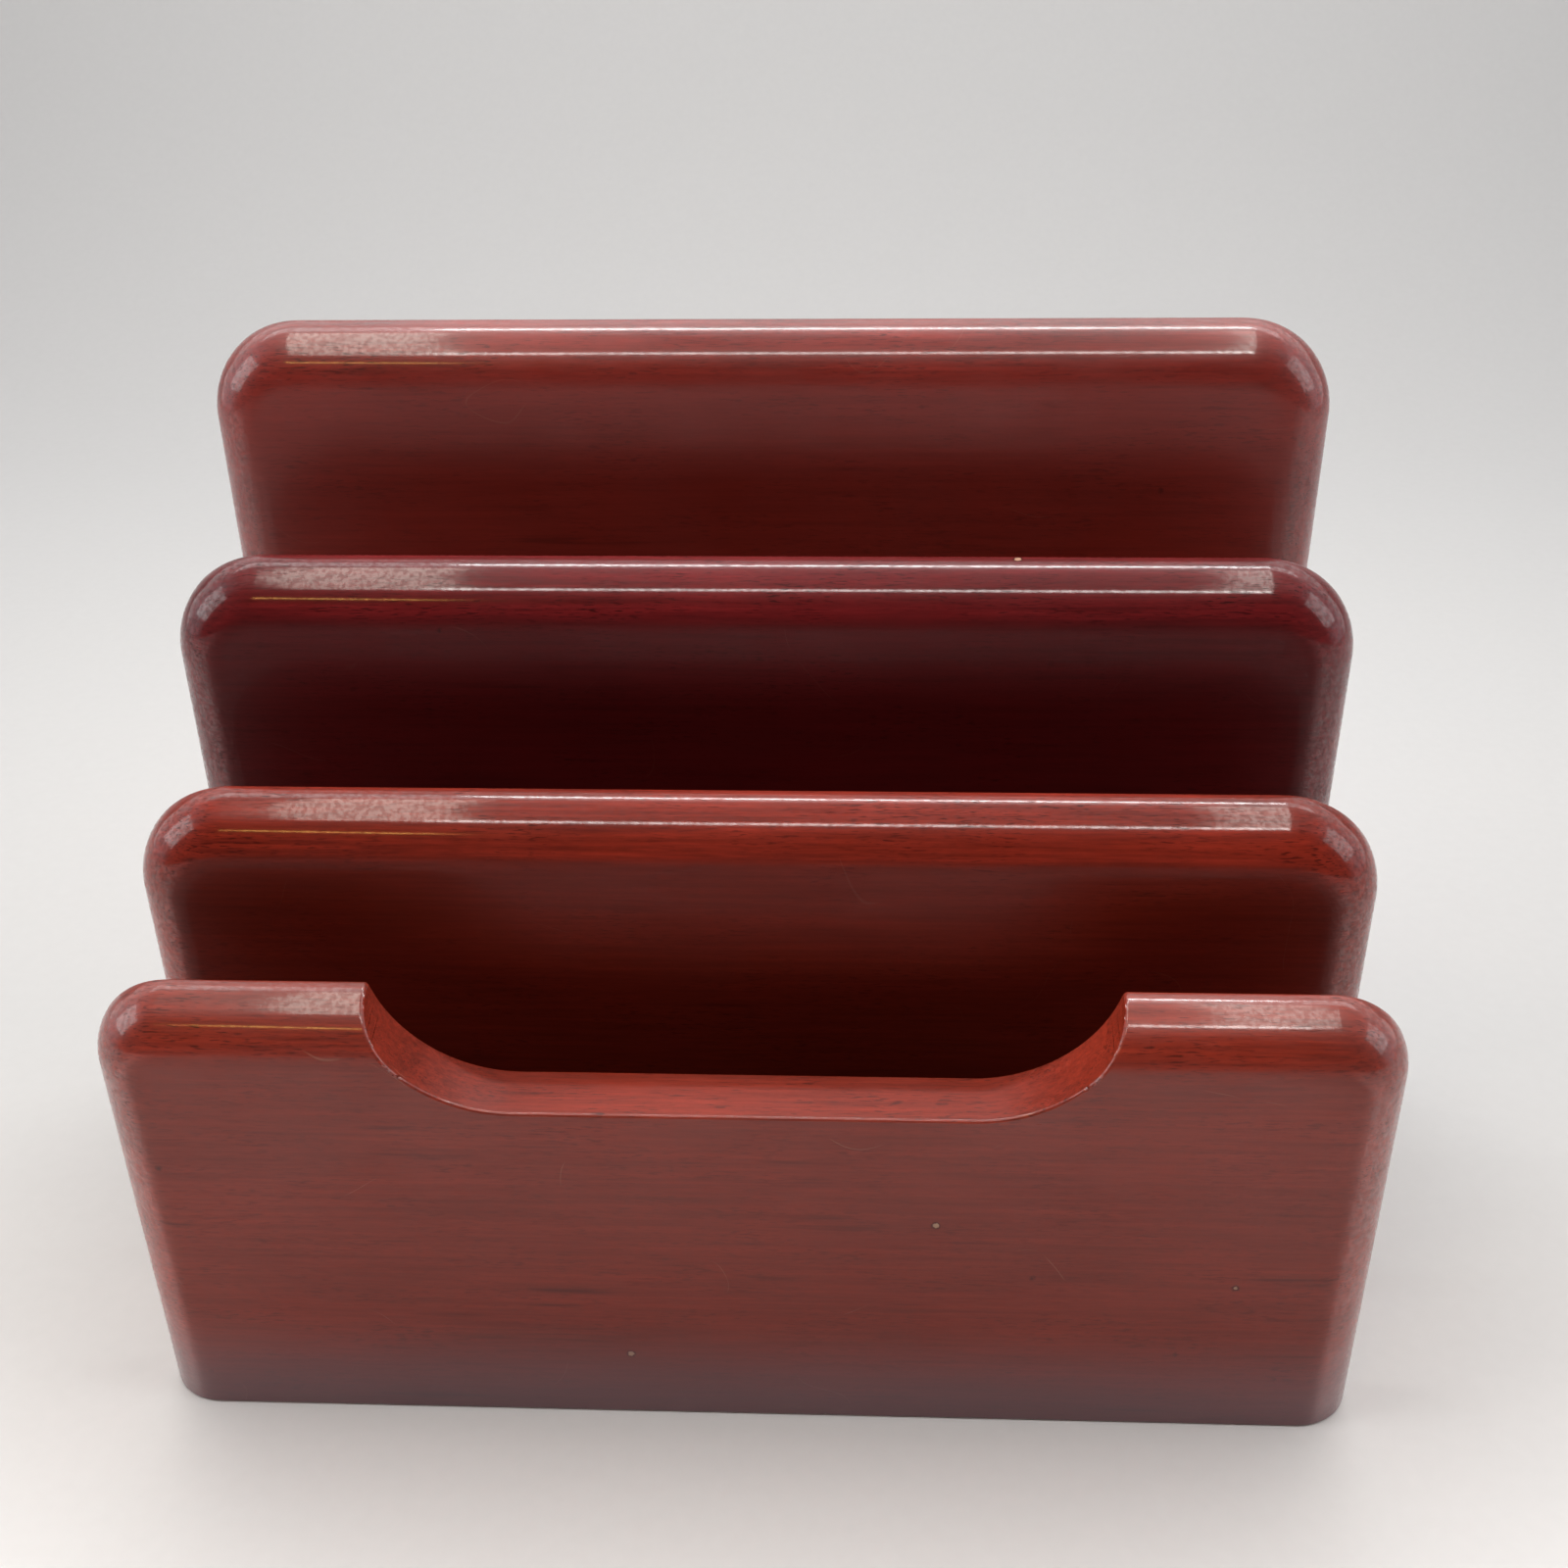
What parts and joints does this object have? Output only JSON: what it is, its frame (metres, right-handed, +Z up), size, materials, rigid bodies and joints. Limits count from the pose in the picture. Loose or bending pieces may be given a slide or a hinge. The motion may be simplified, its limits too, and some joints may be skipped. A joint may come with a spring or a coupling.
{
  "type": "brochure rack",
  "caption": "Wooden desktop brochure rack: upright panels stepping up from front to back, open slots between them and a finger scoop in the front.",
  "frame": {"origin": "on the table top, at the centre of the rack's bounding box", "axes": "+X along the width, to the right as seen from the front; +Y from the low front panel to the tall back panel; +Z up"},
  "size_m": [0.228, 0.1212, 0.1772],
  "materials": {
    "stained_wood": "red-brown stain under satin-gloss lacquer",
    "stained_strip": "red-brown stain, thin satin lacquer",
    "bare_beech": "raw, fluted"
  },
  "bodies": {
    "root": {"front_panel": "stained_wood", "front_divider": "stained_wood", "rear_divider": "stained_wood", "back_panel": "stained_wood", "front_floor_strip": "stained_strip", "middle_floor_strip": "stained_strip", "rear_floor_strip": "stained_strip", "front_panel_dowel_1": "bare_beech", "front_panel_dowel_2": "bare_beech", "front_panel_dowel_3": "bare_beech", "front_divider_dowel_1": "bare_beech", "front_divider_dowel_2": "bare_beech", "front_divider_dowel_3": "bare_beech", "rear_divider_dowel_1": "bare_beech", "rear_divider_dowel_2": "bare_beech", "rear_divider_dowel_3": "bare_beech", "back_panel_dowel_1": "bare_beech", "back_panel_dowel_2": "bare_beech", "back_panel_dowel_3": "bare_beech"}
  },
  "joints": []
}
